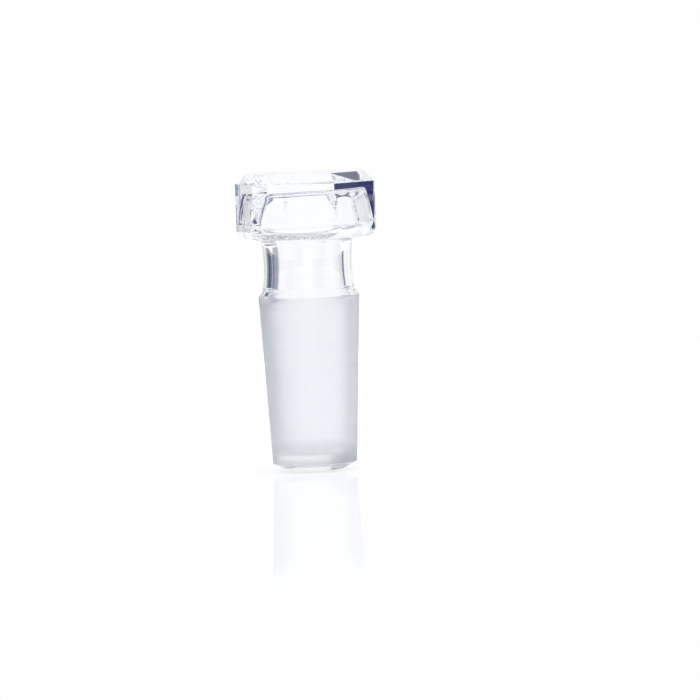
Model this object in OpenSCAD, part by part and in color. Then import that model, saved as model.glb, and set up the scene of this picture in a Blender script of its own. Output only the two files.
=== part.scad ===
// Hollow glass stopper with a six-sided grip head and a standard-taper ground joint.
// It is blown and worked as one piece of borosilicate glass: a thick-topped head pressed
// between flat jaws, a waisted neck, a ground cone and a clear sealed tip.
// The origin is the centre of the flat tip, and +Z runs up the axis to the head.

/* [Ground joint] */
// Diameter at the wide end of the ground cone
joint_top_d = 24; // [20:0.5:45]
// Length of the ground cone along the axis
joint_length = 40; // [25:1:60]
// Length over which the cone's diameter grows by 1 mm
taper_length = 10; // [10:1:20]

/* [Tip] */
// Height of the clear bevel below the ground cone
tip_height = 2; // [1.5:0.1:4]
// How far the bevel comes in from the ground rim to the flat
tip_bevel_inset = 3.4; // [1:0.1:4]
// Radius of the fire-polished edge around the flat
tip_edge_r = 0.8; // [0.3:0.1:1]
// Glass thickness at the sealed tip
tip_thickness = 4.2; // [2.5:0.1:8]

/* [Neck] */
// Length of the neck, from the shoulder to the head
neck_length = 12.3; // [8:0.1:30]
// How far the neck is set in from the wide end of the ground cone
neck_step = 1.05; // [0.6:0.05:2]
// Depth of the waist, the hollow curve along the neck
waist_depth = 0.45; // [0.1:0.05:1]
// Height of the sloping shoulder between the ground cone and the neck
shoulder_height = 1.3; // [0.8:0.1:3]
// Radius of the blend between the neck and the head
head_fillet_r = 1.6; // [0.5:0.1:2]

/* [Head] */
// Height of the head
head_height = 15.6; // [12:0.1:24]
// How far the two broad flats stand out from the neck
broad_overhang = 1.3; // [0.5:0.05:4]
// How far the four narrow flats stand out from the neck
narrow_overhang = 3.85; // [2.5:0.05:6]
// How far the bevel around the top comes in from each flat
bevel_inset = 2.15; // [0.5:0.05:3]
// Height of the bevel around the top
bevel_height = 2.1; // [0.5:0.05:3]
// Radius of the rounded lower edge of the broad flats
broad_lower_r = 1; // [0.4:0.1:3]
// Radius of the rounded lower edge of the narrow flats
narrow_lower_r = 2.2; // [0.4:0.1:3]

/* [Hollow] */
// Glass thickness of the ground cone and the neck
stem_wall = 1.75; // [1:0.05:2.5]
// Glass thickness of the head's flats at the bottom of its hollow
head_wall = 1.5; // [1.2:0.1:3]
// Glass thickness above the hollow
roof_thickness = 4; // [2.5:0.1:6]
// Glass thickness under the hollow of the head
floor_thickness = 1.1; // [1:0.1:3]
// How far the head's hollow narrows from its floor to its roof, on each side
hollow_lean = 1.2; // [0.1:0.1:2]
// Radius of the hollow's rounded edges
hollow_edge_r = 2.2; // [1:0.1:3]
// How far the hollow's rounded corners reach out past its narrow flats
corner_reach = 1.2; // [0.3:0.1:1.5]

/* [Hidden] */
$fn = 96;
overlap = 0.01;
joint_top_r = joint_top_d / 2;
joint_tip_r = joint_top_r - joint_length / taper_length / 2;
tip_flat_r = joint_tip_r - tip_bevel_inset;
neck_end_r = joint_top_r - neck_step;
waist_r = neck_end_r - waist_depth;
waist_curve_r = (pow(neck_length / 2, 2) + pow(waist_depth, 2)) / (2 * waist_depth);
least_ledge = 0.1;
broad_half = neck_end_r + broad_overhang;
narrow_half = neck_end_r + narrow_overhang;
broad_edge_r = min(broad_lower_r, broad_overhang - least_ledge);
narrow_edge_r = min(narrow_lower_r, narrow_overhang - least_ledge);
fillet_r = min(head_fillet_r, narrow_overhang - narrow_edge_r);
joint_tip_z = tip_height;
joint_top_z = joint_tip_z + joint_length;
neck_z = joint_top_z + shoulder_height;
head_z = neck_z + neck_length;
head_top_z = head_z + head_height;
hollow_tip_r = joint_tip_r - stem_wall;
hollow_joint_r = joint_top_r - stem_wall;
hollow_neck_r = neck_end_r - stem_wall;
hollow_waist_r = waist_r - stem_wall;
hollow_floor_z = head_z + floor_thickness;
hollow_roof_z = head_top_z - roof_thickness;
bulb_r = narrow_half - head_wall + corner_reach;
flat_reach = 4 * narrow_half;

// The straight bevel leaves the ground rim and touches the rounded edge of the tip here.
rim = [joint_tip_r, joint_tip_z];
edge_centre = [tip_flat_r, tip_edge_r];
rim_offset = rim - edge_centre;
touch_angle = atan2(rim_offset[1], rim_offset[0]) - acos(tip_edge_r / norm(rim_offset));
bevel_touch = edge_centre + tip_edge_r * [cos(touch_angle), sin(touch_angle)];

// Half-section of the clear tip: a flat, a rounded edge and a bevel up to the ground rim.
module tip_section() {
    translate(edge_centre)
        circle(r = tip_edge_r);
    polygon([[0, 0], [tip_flat_r, 0], edge_centre, bevel_touch, rim, [0, joint_tip_z]]);
}

// Half-section of the ground cone and the sloping shoulder above it.
module joint_section() {
    polygon([
        [0, joint_tip_z - overlap],
        [joint_tip_r, joint_tip_z],
        [joint_top_r, joint_top_z],
        [neck_end_r, neck_z],
        [0, neck_z + overlap]
    ]);
}

// Half-section of the waisted neck.
module neck_section() {
    difference() {
        translate([0, neck_z])
            square([neck_end_r, neck_length + overlap]);
        translate([waist_r + waist_curve_r, neck_z + neck_length / 2])
            circle(r = waist_curve_r, $fn = 720);
    }
}

// Half-section of the blend that widens the neck into the underside of the head.
module fillet_section() {
    difference() {
        translate([0, head_z - fillet_r])
            square([neck_end_r + fillet_r, fillet_r + overlap]);
        translate([neck_end_r + fillet_r, head_z - fillet_r])
            circle(r = fillet_r);
    }
}

// Section between a pair of flats: bevelled above and rounded below.
module flats_section(half, edge_r) {
    polygon([
        [-half + edge_r, head_z],
        [half - edge_r, head_z],
        [half - edge_r, head_z + edge_r],
        [half, head_z + edge_r],
        [half, head_top_z - bevel_height],
        [half - bevel_inset, head_top_z],
        [-half + bevel_inset, head_top_z],
        [-half, head_top_z - bevel_height],
        [-half, head_z + edge_r],
        [-half + edge_r, head_z + edge_r]
    ]);
    for (side = [-1, 1])
        translate([side * (half - edge_r), head_z + edge_r])
            circle(r = edge_r);
}

// Section of the hollow between a pair of flats, with rounded edges and leaning sides.
module hollow_section(half) {
    floor_x = half - head_wall - hollow_edge_r;
    roof_x = floor_x - hollow_lean;
    floor_y = hollow_floor_z + hollow_edge_r;
    roof_y = hollow_roof_z - hollow_edge_r;
    lean = atan2(floor_x - roof_x, roof_y - floor_y);
    side_x = hollow_edge_r * cos(lean);
    side_y = hollow_edge_r * sin(lean);
    polygon([
        [floor_x, hollow_floor_z],
        [floor_x + side_x, floor_y + side_y],
        [roof_x + side_x, roof_y + side_y],
        [roof_x, hollow_roof_z],
        [-roof_x, hollow_roof_z],
        [-roof_x - side_x, roof_y + side_y],
        [-floor_x - side_x, floor_y + side_y],
        [-floor_x, hollow_floor_z]
    ]);
    for (side = [-1, 1]) {
        translate([side * floor_x, floor_y])
            circle(r = hollow_edge_r);
        translate([side * roof_x, roof_y])
            circle(r = hollow_edge_r);
    }
}

// A section drawn out along one pair of opposite flats, turned about the axis.
module pair_of_flats(turn) {
    rotate([0, 0, turn])
        rotate([90, 0, 0])
            linear_extrude(height = flat_reach, center = true)
                children();
}

// The solid head: four narrow flats, and two broad ones at front and back.
module head_body() {
    intersection() {
        pair_of_flats(30)
            flats_section(narrow_half, narrow_edge_r);
        pair_of_flats(-30)
            flats_section(narrow_half, narrow_edge_r);
        pair_of_flats(90)
            flats_section(broad_half, broad_edge_r);
    }
}

// The blend under the head, trimmed to the level part of the underside behind the broad flats.
module head_blend() {
    level_depth = 2 * (broad_half - broad_edge_r);
    intersection() {
        rotate_extrude()
            fillet_section();
        translate([0, 0, head_z])
            cube([flat_reach, level_depth, 4 * fillet_r], center = true);
    }
}

// The head's hollow: a round bulb, pressed in by the same six flats.
module head_hollow() {
    intersection() {
        translate([0, 0, head_z])
            cylinder(r = bulb_r, h = head_height);
        pair_of_flats(30)
            hollow_section(narrow_half);
        pair_of_flats(-30)
            hollow_section(narrow_half);
        pair_of_flats(90)
            hollow_section(broad_half);
    }
}

// Half-section of the stem's hollow: a rounded end in the tip, a bore that follows the
// outside of the cone and the neck, and a blend into the floor of the head's hollow.
module bore_section() {
    end_z = tip_thickness + hollow_edge_r;
    top_z = hollow_floor_z + overlap;
    translate([hollow_tip_r - hollow_edge_r, end_z])
        circle(r = hollow_edge_r);
    polygon([
        [0, tip_thickness],
        [hollow_tip_r - hollow_edge_r, tip_thickness],
        [hollow_tip_r - hollow_edge_r, end_z],
        [hollow_tip_r, end_z],
        [hollow_joint_r, joint_top_z - shoulder_height],
        [hollow_neck_r, neck_z + shoulder_height],
        [hollow_waist_r, neck_z + neck_length / 2],
        [hollow_waist_r, top_z],
        [0, top_z]
    ]);
    difference() {
        translate([hollow_waist_r - overlap, hollow_floor_z - floor_thickness])
            square([floor_thickness + overlap, floor_thickness + overlap]);
        translate([hollow_waist_r + floor_thickness, hollow_floor_z - floor_thickness])
            circle(r = floor_thickness);
    }
}

module stopper() {
    color([0.93, 0.96, 0.99, 0.45])
        difference() {
            union() {
                rotate_extrude() {
                    tip_section();
                    joint_section();
                    neck_section();
                }
                head_blend();
                head_body();
            }
            union() {
                head_hollow();
                rotate_extrude()
                    bore_section();
            }
        }
}

stopper();
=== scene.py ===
import math
import bpy
import numpy as np
from mathutils import Matrix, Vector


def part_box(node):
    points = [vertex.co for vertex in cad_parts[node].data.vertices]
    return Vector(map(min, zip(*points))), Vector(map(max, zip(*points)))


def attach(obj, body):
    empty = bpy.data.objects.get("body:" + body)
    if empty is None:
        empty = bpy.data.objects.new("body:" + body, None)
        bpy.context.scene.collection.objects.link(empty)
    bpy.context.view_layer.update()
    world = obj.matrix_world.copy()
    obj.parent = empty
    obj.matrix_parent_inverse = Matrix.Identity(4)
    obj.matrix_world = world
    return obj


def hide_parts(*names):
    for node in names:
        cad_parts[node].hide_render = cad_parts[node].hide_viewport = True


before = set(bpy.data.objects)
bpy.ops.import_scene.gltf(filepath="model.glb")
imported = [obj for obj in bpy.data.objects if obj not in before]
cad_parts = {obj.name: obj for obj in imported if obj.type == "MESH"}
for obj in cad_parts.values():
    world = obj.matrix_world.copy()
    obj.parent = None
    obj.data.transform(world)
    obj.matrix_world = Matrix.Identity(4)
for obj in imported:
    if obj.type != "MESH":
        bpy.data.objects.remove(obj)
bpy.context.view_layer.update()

# ------------------------------------------------------------------------------------------
# The stopper is one piece of borosilicate tube, sealed at the tip, drawn in at the neck, and
# pressed between six flat jaws at the head while it is soft. The cone is then ground with
# wet grit to fit its socket, and the flame leaves the rest clear.
# ------------------------------------------------------------------------------------------
mm = 0.001
head_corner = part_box("stopper")[1]
head_top = head_corner.z
head_height = 15.6 * mm
head_foot = head_top - head_height
neck_length = 12.3 * mm
neck_foot = head_foot - neck_length
neck_r = 10.95 * mm
waist_depth = 0.45 * mm
shoulder_height = 1.3 * mm
cone_top = neck_foot - shoulder_height
cone_length = 40 * mm
cone_tip = cone_top - cone_length
cone_top_r = 12 * mm
cone_tip_r = 10 * mm

# The jaws press the flats at these turns about the axis: two are broad, and four are narrow.
JAW_TURNS = [30, 90, 150, 210, 270, 330]
JAW_STEP = math.radians(60)
QUARTER = math.radians(90)
CORNER_STEPS = 8
FLAT_STEPS = 27
CROWDING = 0.07
FILLET_STEPS = 8
BLEND_STEPS = 10
ring_spacing = 2 * mm


def by_flat(narrow, broad):
    """One value for each flat of the head."""
    return np.array([broad if turn % 180 == 90 else narrow for turn in JAW_TURNS])


def six_flats(halves, corner_r, heights, belly=0):
    """A ring around six flats, with rounded corners, and its flats bellied out this much.

    The points crowd together toward the corners, where the bent light needs them most.
    """
    turns = [math.radians(turn) for turn in JAW_TURNS]
    heights = np.broadcast_to(heights, 6)
    centres = []
    for i in range(6):
        j = (i + 1) % 6
        normals = np.array([[math.cos(turns[k]), math.sin(turns[k])] for k in (i, j)])
        centres.append(np.linalg.solve(normals, np.array([halves[i], halves[j]]) - corner_r[i]))
    ring = []
    for i in range(6):
        j = (i + 1) % 6
        for step in range(CORNER_STEPS + 1):
            share = step / CORNER_STEPS
            turn = turns[i] + JAW_STEP * share
            ring.append([
                centres[i][0] + corner_r[i] * math.cos(turn),
                centres[i][1] + corner_r[i] * math.sin(turn),
                heights[i] + (heights[j] - heights[i]) * share,
            ])
        outward = np.array([math.cos(turns[j]), math.sin(turns[j])])
        start = np.array(ring[-1][:2])
        end = centres[j] + corner_r[j] * outward
        for step in range(1, FLAT_STEPS + 1):
            share = step / (FLAT_STEPS + 1)
            share -= CROWDING * math.sin(2 * math.pi * share)
            swell = belly * math.sin(math.pi * share) ** 2
            x, y = start + (end - start) * share + outward * swell
            ring.append([x, y, heights[j]])
    return np.array(ring)


def spokes_of(ring):
    """The directions from the axis to the points of a ring."""
    return ring[:, :2] / np.linalg.norm(ring[:, :2], axis=1)[:, None]


def round_ring(radius, height, spokes):
    """A ring at a radius and a height, which are one number each or one for every spoke."""
    ring = np.empty((len(spokes), 3))
    ring[:, :2] = spokes * np.reshape(radius, (-1, 1))
    ring[:, 2] = height
    return ring


def fillet_path(corners, radii):
    """A line through corners, with each of its inner corners rounded to its own radius."""
    path = [corners[0]]
    for before, corner, after, radius in zip(corners, corners[1:], corners[2:], radii):
        here = np.array(corner, float)
        back = np.array(before, float) - here
        ahead = np.array(after, float) - here
        back /= np.linalg.norm(back)
        ahead /= np.linalg.norm(ahead)
        half_angle = math.acos(np.clip(back @ ahead, -1, 1)) / 2
        middle = (back + ahead) / np.linalg.norm(back + ahead)
        centre = here + middle * radius / math.sin(half_angle)
        first = here + back * radius / math.tan(half_angle) - centre
        last = here + ahead * radius / math.tan(half_angle) - centre
        sweep = math.pi - 2 * half_angle
        for share in np.linspace(0, 1, FILLET_STEPS + 1):
            arm = first * math.sin((1 - share) * sweep) + last * math.sin(share * sweep)
            path.append(tuple(centre + arm / math.sin(sweep)))
    path.append(corners[-1])
    return path


def turned_rings(path, spokes):
    """Round rings along a path of radius and height, no further apart than the spacing."""
    rings = [round_ring(*path[0], spokes)]
    for before, after in zip(path, path[1:]):
        parts = max(1, math.ceil(math.dist(before, after) / ring_spacing))
        for share in np.linspace(0, 1, parts + 1)[1:]:
            radius = before[0] + (after[0] - before[0]) * share
            height = before[1] + (after[1] - before[1]) * share
            rings.append(round_ring(radius, height, spokes))
    return rings


def waist(height):
    """The radius of the neck, which is a shallow waist."""
    share = (height - neck_foot) / neck_length
    return neck_r - waist_depth * (1 - (2 * share - 1) ** 2)


# The head's upright edges, starting at the back on the right and going round to the left.
# The jaws leave all but the two back ones sharp near the thick top. Lower down, the thin
# wall rounds them all over and bellies out between them.
edge_r = np.array([1, 1, 0.12, 0.12, 0.12, 0.12]) * mm
soft_edge_r = np.array([2.5, 2.5, 2.2, 2.2, 2.5, 2.2]) * mm
swell = by_flat(0.28 * mm, 0)
narrow_half = head_corner.x * math.cos(math.radians(30))
broad_half = head_corner.y
flats = by_flat(narrow_half, broad_half)
lower_edge_r = by_flat(2.2 * mm, 1.1 * mm)
outer_spokes = spokes_of(six_flats(flats, edge_r, 0))

# The tip: a slightly domed flat, a melted edge, and a bevel up to the ground cone. Then the
# cone, the sloping shoulder, and the foot of the neck.
tip_dome = 0.3 * mm
tip_flat_r = 6.3 * mm
bevel_foot_r = 6.85 * mm
shoulder_blend = 1.2 * mm
melted_edge_r = 0.8 * mm
cone_foot_edge_r = 0.2 * mm
cone_top_edge_r = 0.5 * mm
neck_foot_edge_r = 0.9 * mm


def tip_point(radius):
    """A point on the slightly domed flat of the tip."""
    return (radius, tip_dome * (radius / bevel_foot_r) ** 2)


# The rings of the flat lie a millimetre apart.
tip_path = [tip_point(radius) for radius in np.arange(1, 7) * mm]
tip_path += fillet_path(
    [
        tip_point(tip_flat_r),
        tip_point(bevel_foot_r),
        (cone_tip_r, cone_tip),
        (cone_top_r, cone_top),
        (neck_r, neck_foot),
        (waist(neck_foot + shoulder_blend), neck_foot + shoulder_blend),
    ],
    [melted_edge_r, cone_foot_edge_r, cone_top_edge_r, neck_foot_edge_r],
)
outside = turned_rings(tip_path, outer_spokes)

# The neck, and the blend that widens it into the underside of the head.
lower_ring = six_flats(flats + swell - lower_edge_r, soft_edge_r, 0)
underside_r = np.linalg.norm(lower_ring[:, :2], axis=1)
fullest_blend_r = 1.6 * mm
least_ledge = 0.02 * mm
blend_r = np.minimum(fullest_blend_r, underside_r - neck_r - least_ledge)
NECK_STEPS = 24
SHOULDER_STEPS = 3
for share in np.linspace(0, 1, NECK_STEPS + 1)[SHOULDER_STEPS:]:
    height = neck_foot + (neck_length - blend_r) * share
    outside.append(round_ring(waist(height), height, outer_spokes))
blend_foot_r = waist(head_foot - blend_r)
for turn in np.linspace(0, QUARTER, BLEND_STEPS + 1)[1:]:
    radius = blend_foot_r + blend_r * (1 - math.cos(turn))
    outside.append(round_ring(radius, head_foot - blend_r * (1 - math.sin(turn)), outer_spokes))
flare_r = blend_foot_r + blend_r
LEDGE_SHARES = (0.1, 0.5, 0.9)
for share in LEDGE_SHARES:
    radius = flare_r + (underside_r - flare_r) * share
    outside.append(round_ring(radius, head_foot, outer_spokes))

# The head: rounded below, flat-sided, bevelled above, and level on top.
for turn in np.linspace(0, QUARTER, BLEND_STEPS + 1):
    outside.append(six_flats(
        flats + swell - lower_edge_r * (1 - math.sin(turn)),
        soft_edge_r,
        head_foot + lower_edge_r * (1 - math.cos(turn)),
    ))
sharp_foot = head_top - 4.4 * mm
soft_top = head_top - 8.5 * mm
side_foot = head_foot + 2.5 * mm
SIDE_RINGS = 22
for height in np.linspace(side_foot, sharp_foot, SIDE_RINGS):
    share = min(1, (sharp_foot - height) / (sharp_foot - soft_top))
    softness = share * share * (3 - 2 * share)
    outside.append(six_flats(
        flats + swell * softness, edge_r + (soft_edge_r - edge_r) * softness, height
    ))
bevel_inset = 2.2 * mm
bevel_height = 2.4 * mm
bevel_edge_r = 0.1 * mm
bevel_run_in = 0.2 * mm
bevel_run_out = 1.5 * mm
bevel_path = fillet_path(
    [
        (0, sharp_foot + bevel_run_in),
        (0, head_top - bevel_height),
        (bevel_inset, head_top),
        (bevel_inset + bevel_run_out, head_top),
    ],
    [bevel_edge_r, bevel_edge_r],
)
for inset, height in bevel_path:
    outside.append(six_flats(flats - inset, edge_r, height))

# The flat top closes inward in ever smaller rings.
top_ring = outside[-1]
TOP_SHARES = (0.9, 0.75, 0.6, 0.45, 0.3, 0.15, 0.05)
for share in TOP_SHARES:
    outside.append(top_ring * (share, share, 1))

# The hollow is sealed at both ends: a round bore up the cone and the neck, and a bulb in the
# head that the jaws squeeze to six flats as well. Its walls lean in to a thick roof, and the
# front one on the left is thicker than the rest.
bulb_floor = head_foot + 1 * mm
bulb_roof = head_top - 4.25 * mm
bulb_wall = np.array([1.3, 1.5, 1.3, 2, 1.5, 1.3]) * mm
bulb_lean = by_flat(1.7 * mm, 0.8 * mm)
bulb_belly = 0.35 * mm
low_corner_r = np.array([1.5, 2.5, 1.5, 1.5, 2, 1.5]) * mm
high_corner_r = np.array([1.5, 2.5, 3, 4, 1, 3]) * mm
lean_power = 1.3
roof_slope = 0.03
roof_wave = 0.03 * mm
roof_wave_length = 2.2 * mm
roof_edge_r = 1.2 * mm


def bulb_ring(share, inset, height):
    """A ring of the bulb: at this share of its height, and this far in from its wall."""
    halves = flats - bulb_wall - bulb_lean * share ** lean_power - inset
    corner_r = low_corner_r + (high_corner_r - low_corner_r) * share
    ring = six_flats(halves, corner_r, height, bulb_belly)
    across = ring[:, 0]
    ring[:, 2] += (roof_slope * across + roof_wave * np.sin(across / roof_wave_length)) * share
    return ring


floor_ring = bulb_ring(0, 0, bulb_floor)
bulb_spokes = spokes_of(floor_ring)
bulb_r = np.linalg.norm(floor_ring[:, :2], axis=1)
neck_wall = 2.25 * mm
lip_drop = 2 * mm
bore_end_r = waist(bulb_floor - lip_drop) - neck_wall
room = bulb_r - bore_end_r
fullest_lip_r = 2.2 * mm
fullest_foot_r = 2.6 * mm
lip_share = 0.45
lip_r = np.minimum(fullest_lip_r, room * lip_share)
foot_r = np.minimum(fullest_foot_r, room * (1 - lip_share))

# The bore: a flat end in the thick tip, and walls that follow the cone and then the neck.
tip_thickness = 4.2 * mm
bore_flat_r = 5.3 * mm
bore_tip_r = 8.25 * mm
bore_top_r = 10.25 * mm
cone_bore_top = 40.7 * mm
neck_bore_foot = 43.6 * mm
neck_bore_start = 1 * mm
neck_bore_gap = 0.5 * mm
lip_gap = 0.2 * mm
bore_end_edge_r = 2.6 * mm
cone_bore_edge_r = 3 * mm
neck_bore_edge_r = 2 * mm
NECK_BORE_RINGS = 14
bore_path = [(radius, tip_thickness) for radius in np.arange(1, 6) * mm]
bore_path += fillet_path(
    [
        (bore_flat_r, tip_thickness),
        (bore_tip_r, tip_thickness),
        (bore_top_r, cone_bore_top),
        (waist(neck_bore_foot) - neck_wall, neck_bore_foot),
        (waist(neck_bore_foot + neck_bore_start) - neck_wall, neck_bore_foot + neck_bore_start),
    ],
    [bore_end_edge_r, cone_bore_edge_r, neck_bore_edge_r],
)
neck_bore_rise = neck_bore_foot + neck_bore_start + neck_bore_gap
lip_foot = bulb_floor - lip_r.max() - lip_gap
for height in np.linspace(neck_bore_rise, lip_foot, NECK_BORE_RINGS):
    bore_path.append((waist(height) - neck_wall, height))
inside = turned_rings(bore_path, bulb_spokes)

# The bulb: a lip over the bore, a level floor, a rounded foot, leaning walls and the roof.
for turn in np.linspace(0, QUARTER, BLEND_STEPS + 1):
    radius = bore_end_r + lip_r * (1 - math.cos(turn))
    inside.append(round_ring(radius, bulb_floor - lip_r * (1 - math.sin(turn)), bulb_spokes))
FLOOR_SHARES = (0.3, 0.7)
for share in FLOOR_SHARES:
    radius = bore_end_r + lip_r + (bulb_r - foot_r - bore_end_r - lip_r) * share
    inside.append(round_ring(radius, bulb_floor, bulb_spokes))
for turn in np.linspace(0, QUARTER, BLEND_STEPS + 1):
    radius = bulb_r - foot_r * (1 - math.sin(turn))
    inside.append(round_ring(radius, bulb_floor + foot_r * (1 - math.cos(turn)), bulb_spokes))
wall_foot = bulb_floor + 2.7 * mm
wall_top = bulb_roof - roof_edge_r
WALL_RINGS = 12
for share in np.linspace(0, 1, WALL_RINGS + 1)[1:]:
    inside.append(bulb_ring(share, 0, wall_foot + (wall_top - wall_foot) * share))
for turn in np.linspace(0, QUARTER, BLEND_STEPS + 1)[1:]:
    inset = roof_edge_r * (1 - math.cos(turn))
    inside.append(bulb_ring(1, inset, wall_top + roof_edge_r * math.sin(turn)))
roof_ring = inside[-1]
roof_middle = (0, 0, roof_ring[:, 2].mean())
ROOF_SHARES = (0.96, 0.88, 0.75, 0.6, 0.45, 0.3, 0.15, 0.05)
for share in ROOF_SHARES:
    inside.append(roof_middle + (roof_ring - roof_middle) * share)

CLEAR, GROUND = 0, 1
clear_rim = 0.3 * mm
points, faces, finishes = [], [], []


def ground_on_cone(height):
    """The outside is ground all up the cone, and clear elsewhere."""
    return GROUND if cone_tip < height < cone_top - clear_rim else CLEAR


def clear_all_over(height):
    """The hollow is clear from end to end."""
    return CLEAR


def add_skin(rings, inward, finish_at):
    """Closes a skin over the rings, with a fan at each end, and faces it outward or inward."""
    first = len(points)
    count = len(rings[0])
    for ring in rings:
        points.extend(ring.tolist())
    bottom = len(points)
    top = bottom + 1
    points.extend([rings[0].mean(axis=0).tolist(), rings[-1].mean(axis=0).tolist()])
    last = bottom - count
    made = []
    for j, (lower, upper) in enumerate(zip(rings, rings[1:])):
        finish = finish_at((lower[:, 2].mean() + upper[:, 2].mean()) / 2)
        for i in range(count):
            a = first + j * count + i
            b = first + j * count + (i + 1) % count
            made.append(((a, b, b + count, a + count), finish))
    for i in range(count):
        after = (i + 1) % count
        made.append(((first + after, first + i, bottom), CLEAR))
        made.append(((last + i, last + after, top), CLEAR))
    for corners, finish in made:
        faces.append(corners[::-1] if inward else corners)
        finishes.append(finish)


add_skin(outside, False, ground_on_cone)
add_skin(inside, True, clear_all_over)
mesh = bpy.data.meshes.new("glass_stopper")
mesh.from_pydata(points, [], faces)
mesh.polygons.foreach_set("material_index", finishes)
mesh.polygons.foreach_set("use_smooth", [True] * len(faces))
mesh.update()
stopper = bpy.data.objects.new("glass_stopper", mesh)
bpy.context.scene.collection.objects.link(stopper)


def add_node(tree, kind, sockets, **settings):
    """Adds a node. Each socket named takes a plain value, or a link from another node."""
    node = tree.nodes.new(kind)
    for name, setting in settings.items():
        setattr(node, name, setting)
    for socket, source in sockets.items():
        if isinstance(source, bpy.types.NodeSocket):
            tree.links.new(source, node.inputs[socket])
        else:
            node.inputs[socket].default_value = source
    return node


# Glass that has been soft in the flame is never quite true. Both finishes carry the same
# slow waves, which are deeper on the cone, where the grit follows them.
flame_waves = bpy.data.node_groups.new("flame_waves", "ShaderNodeTree")
flame_waves.interface.new_socket("Waves per metre", in_out="INPUT", socket_type="NodeSocketFloat")
flame_waves.interface.new_socket("Height", in_out="OUTPUT", socket_type="NodeSocketFloat")
entry = add_node(flame_waves, "NodeGroupInput", {})
place = add_node(flame_waves, "ShaderNodeTexCoord", {})
waves = add_node(flame_waves, "ShaderNodeTexNoise", {
    "Vector": place.outputs["Object"],
    "Scale": entry.outputs["Waves per metre"],
    "Detail": 1,
    "Roughness": 0.4,
})
add_node(flame_waves, "NodeGroupOutput", {"Height": waves.outputs["Fac"]})


borosilicate_ior = 1.47


def glass_shader(name, colour, waves_per_metre, wave_depth):
    """A glass material with the flame's waves in it, which is still open to further work."""
    material = bpy.data.materials.new(name)
    material.use_nodes = True
    tree = material.node_tree
    shader = tree.nodes["Principled BSDF"]
    shader.inputs["Base Color"].default_value = colour
    shader.inputs["IOR"].default_value = borosilicate_ior
    shader.inputs["Transmission Weight"].default_value = 1
    waved = add_node(tree, "ShaderNodeGroup", {}, node_tree=flame_waves)
    waved.inputs["Waves per metre"].default_value = waves_per_metre
    bump = add_node(tree, "ShaderNodeBump", {
        "Height": waved.outputs["Height"], "Strength": 1, "Distance": wave_depth
    })
    tree.links.new(bump.outputs["Normal"], shader.inputs["Normal"])
    return material, tree, shader, bump


clear_glass, tree, shader, bump = glass_shader(
    "clear_glass", colour=(0.99, 0.995, 1, 1), waves_per_metre=160, wave_depth=0.006 * mm
)
shader.inputs["Roughness"].default_value = 0

# The grit leaves an even white grain, and faint rings around the cone where its coarser
# grains ran. The rings are a little smoother, and let a little more light through.
ground_glass, tree, shader, bump = glass_shader(
    "ground_glass", colour=(1, 1, 1, 1), waves_per_metre=110, wave_depth=0.02 * mm
)
rings_per_metre = 1400
streaks_around = 60
grains_per_metre = 6000
ring_depth = 0.004 * mm
grain_depth = 0.003 * mm
dull_at, bright_at = 0.3, 0.7
dull_roughness, bright_roughness = 0.46, 0.38
dull_white = (0.93, 0.94, 1, 1)
bright_white = (0.975, 0.975, 1, 1)
place = add_node(tree, "ShaderNodeTexCoord", {})
around = add_node(tree, "ShaderNodeMapping", {
    "Vector": place.outputs["Object"],
    "Scale": (streaks_around, streaks_around, rings_per_metre),
})
rings = add_node(tree, "ShaderNodeTexNoise", {
    "Vector": around.outputs["Vector"], "Scale": 1, "Detail": 3, "Roughness": 0.6
})
grain = add_node(tree, "ShaderNodeTexNoise", {
    "Vector": place.outputs["Object"], "Scale": grains_per_metre, "Detail": 1
})
roughness = add_node(tree, "ShaderNodeMapRange", {
    "Value": rings.outputs["Fac"], "From Min": dull_at, "From Max": bright_at,
    "To Min": dull_roughness, "To Max": bright_roughness,
})
tree.links.new(roughness.outputs["Result"], shader.inputs["Roughness"])
frost = add_node(tree, "ShaderNodeValToRGB", {"Fac": rings.outputs["Fac"]})
dull, bright = frost.color_ramp.elements
dull.position = dull_at
dull.color = dull_white
bright.position = bright_at
bright.color = bright_white
tree.links.new(frost.outputs["Color"], shader.inputs["Base Color"])
ring_bump = add_node(tree, "ShaderNodeBump", {
    "Height": rings.outputs["Fac"], "Strength": 1, "Distance": ring_depth,
    "Normal": bump.outputs["Normal"],
})
grain_bump = add_node(tree, "ShaderNodeBump", {
    "Height": grain.outputs["Fac"], "Strength": 1, "Distance": grain_depth,
    "Normal": ring_bump.outputs["Normal"],
})
tree.links.new(grain_bump.outputs["Normal"], shader.inputs["Normal"])
mesh.materials.append(clear_glass)
mesh.materials.append(ground_glass)

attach(stopper, "root")
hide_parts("stopper")

# ------------------------------------------------------------------------------------------
# The table is a round sheet of white acrylic, which the stopper stands on. It is cast with a
# gloss, and mirrors what stands near its middle more than what lies towards its edge.
# ------------------------------------------------------------------------------------------
table_r = 0.45
acrylic_white = (0.55, 0.55, 0.55, 1)
acrylic_lift = 0.7
mirror_falloff = 2.5
mirror_gain = 0.75
mirror_most = 0.3
RIM_STEPS = 128
bpy.ops.mesh.primitive_circle_add(vertices=RIM_STEPS, radius=table_r, fill_type="NGON")
table = bpy.context.object
table.name = "table"


def reckon(tree, operation, *terms):
    """The result of a Math node, whose terms are plain numbers or sockets."""
    sockets = dict(enumerate(terms))
    return add_node(tree, "ShaderNodeMath", sockets, operation=operation).outputs[0]


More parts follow.
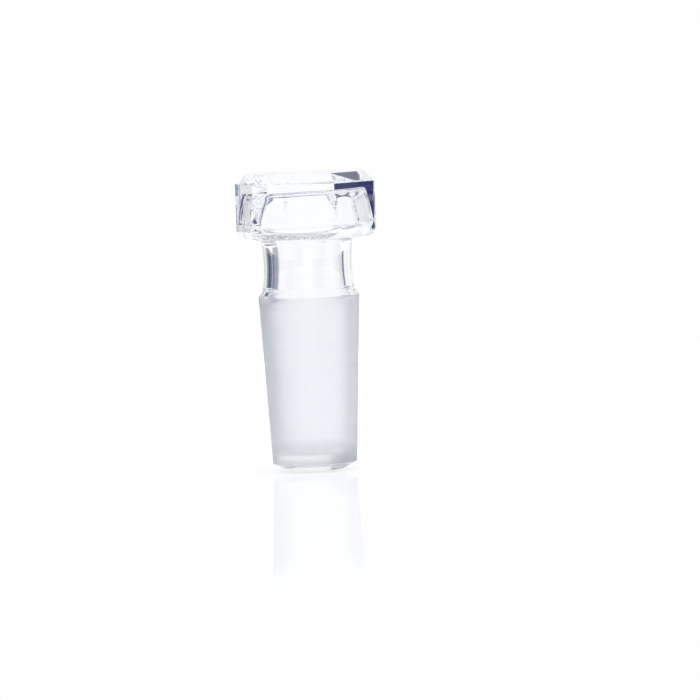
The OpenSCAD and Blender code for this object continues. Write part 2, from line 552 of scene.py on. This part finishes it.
acrylic = bpy.data.materials.new("white_acrylic")
acrylic.use_nodes = True
tree = acrylic.node_tree
tree.nodes.clear()
matt = add_node(tree, "ShaderNodeBsdfDiffuse", {"Color": acrylic_white})
rays = add_node(tree, "ShaderNodeLightPath", {})
seen = reckon(tree, "MAXIMUM", rays.outputs["Is Camera Ray"], rays.outputs["Is Glossy Ray"])
seen = reckon(tree, "MAXIMUM", seen, rays.outputs["Is Transmission Ray"])
lifted = reckon(tree, "MULTIPLY", seen, acrylic_lift)
lift = add_node(tree, "ShaderNodeEmission", {"Color": (1, 1, 1, 1), "Strength": lifted})
white = add_node(tree, "ShaderNodeAddShader", {0: matt.outputs[0], 1: lift.outputs[0]})
gloss = add_node(tree, "ShaderNodeBsdfGlossy", {"Roughness": 0.02})
place = add_node(tree, "ShaderNodeTexCoord", {})
spread = add_node(tree, "ShaderNodeMapping", {
    "Vector": place.outputs["Object"], "Scale": [mirror_falloff] * 3
})
fade = add_node(tree, "ShaderNodeTexGradient", {
    "Vector": spread.outputs["Vector"]
}, gradient_type="SPHERICAL")
mirrored = reckon(tree, "MULTIPLY", fade.outputs["Fac"], mirror_gain)
mirrored = reckon(tree, "MINIMUM", mirrored, mirror_most)
sheet = add_node(tree, "ShaderNodeMixShader", {
    0: mirrored, 1: white.outputs[0], 2: gloss.outputs[0]
})
add_node(tree, "ShaderNodeOutputMaterial", {"Surface": sheet.outputs[0]})
table.data.materials.append(acrylic)

# ------------------------------------------------------------------------------------------
# The light is a white cloth tent all round, pale blue at its sides. Soft-edged openings in
# it, to the left and right, high up, and at the near side, draw the dark lines in the glass.
# ------------------------------------------------------------------------------------------
view_turn = 13
tent_white = (1, 1, 1, 1)
side_blue = (0.82, 0.92, 1, 1)
far_opening = (0.05, 0.07, 0.22, 1)
left_opening = (0.012, 0.016, 0.1, 1)
right_opening = (0.08, 0.12, 0.22, 1)
high_opening = (0.08, 0.1, 0.24, 1)
world = bpy.data.worlds.new("light_tent")
bpy.context.scene.world = world
world.use_nodes = True
tree = world.node_tree
heading = add_node(tree, "ShaderNodeTexCoord", {})
turned = add_node(tree, "ShaderNodeMapping", {
    "Vector": heading.outputs["Generated"], "Rotation": (0, 0, math.radians(-view_turn))
})
axes = add_node(tree, "ShaderNodeSeparateXYZ", {0: turned.outputs["Vector"]})
angle = reckon(tree, "ARCTAN2", axes.outputs["Y"], axes.outputs["X"])
around = reckon(tree, "MULTIPLY_ADD", angle, 0.5 / math.pi, 0.5)
upward = reckon(tree, "MULTIPLY_ADD", axes.outputs["Z"], 0.5, 0.5)
FULL_TURN = 360
FULL_RISE = 2


def cloth(along, span, stops):
    """A colour ramp along the turn in degrees, or along the rise from -1 to 1."""
    node = add_node(tree, "ShaderNodeValToRGB", {"Fac": along})
    ramp = node.color_ramp.elements
    while len(ramp) > 1:
        ramp.remove(ramp[-1])
    for i, (place, colour) in enumerate(stops):
        at = place / span + 0.5
        stop = ramp.new(at) if i else ramp[0]
        stop.position = at
        stop.color = colour if isinstance(colour, tuple) else (colour, colour, colour, 1)
    return node.outputs["Color"]


def opening(behind, colour, turn_stops, rise_stops):
    """Cuts a soft-edged opening of one colour in the tent."""
    turn_share = cloth(around, FULL_TURN, turn_stops)
    rise_share = cloth(upward, FULL_RISE, rise_stops)
    where = reckon(tree, "MULTIPLY", turn_share, rise_share)
    over = add_node(tree, "ShaderNodeMix", {}, data_type="RGBA")
    tree.links.new(where, over.inputs["Factor"])
    tree.links.new(behind, over.inputs["A"])
    over.inputs["B"].default_value = colour
    return over.outputs["Result"]


# A turn of 0 is to the right, 90 is straight behind the stopper, and -90 is the near side.
tent = cloth(around, FULL_TURN, [
    (-180, side_blue), (-130, side_blue), (-100, tent_white), (-80, tent_white),
    (-50, side_blue), (-35, side_blue), (-20, tent_white), (140, tent_white),
    (145, far_opening), (163, far_opening), (172, side_blue), (180, side_blue),
])
tent = opening(
    tent, right_opening,
    [(-1, 0), (5, 1), (39, 1), (44, 0)],
    [(-0.2, 1), (0.15, 1), (0.3, 0)],
)
tent = opening(
    tent, left_opening,
    [(104, 0), (107, 0.7), (116, 0.75), (121, 1), (127, 1), (131, 0.85), (138, 0.85), (143, 0)],
    [(-0.14, 0.5), (-0.09, 1), (0.06, 1), (0.2, 0)],
)
tent = opening(
    tent, high_opening,
    [(42, 0), (60, 1), (124, 1), (140, 0)],
    [(0.33, 0), (0.4, 1), (0.6, 1), (0.75, 0)],
)
tent = opening(
    tent, far_opening,
    [(-162, 0), (-146, 1), (-136, 1), (-122, 0), (-82, 0), (-67, 1), (-57, 1), (-42, 0)],
    [(-0.35, 0), (-0.2, 1), (0.2, 1), (0.35, 0)],
)
rays = add_node(tree, "ShaderNodeLightPath", {})
clean = add_node(tree, "ShaderNodeMix", {}, data_type="RGBA")
tree.links.new(rays.outputs["Is Camera Ray"], clean.inputs["Factor"])
tree.links.new(tent, clean.inputs["A"])
clean.inputs["B"].default_value = tent_white
background = tree.nodes["Background"]
tree.links.new(clean.outputs["Result"], background.inputs["Color"])
background.inputs["Strength"].default_value = 1

# ------------------------------------------------------------------------------------------
# The camera has a long lens. It looks almost level, from a little to the right of the head's
# broad flat, and is tipped slightly to one side.
# ------------------------------------------------------------------------------------------
view_rise = 3.6
view_tip = -2.16
distance = 2.0
frame_width = 167 * mm
aim_across = 8.23 * mm
aim_up = 28.66 * mm
lens = bpy.data.cameras.new("camera")
lens.lens = lens.sensor_width * distance / frame_width
lens.clip_end = 5 * distance
camera = bpy.data.objects.new("camera", lens)
bpy.context.scene.collection.objects.link(camera)
facing = (
    Matrix.Rotation(math.radians(view_turn), 4, "Z")
    @ Matrix.Rotation(math.radians(90 - view_rise), 4, "X")
    @ Matrix.Rotation(math.radians(view_tip), 4, "Z")
)
camera.matrix_world = facing @ Matrix.Translation((aim_across, aim_up, distance))

# Light passes through many walls of glass before it leaves the head.
glass_bounces = 64
mirror_bounces = 32
scene = bpy.context.scene
scene.camera = camera
scene.view_settings.view_transform = "Standard"
scene.cycles.max_bounces = glass_bounces
scene.cycles.transmission_bounces = glass_bounces
scene.cycles.glossy_bounces = mirror_bounces
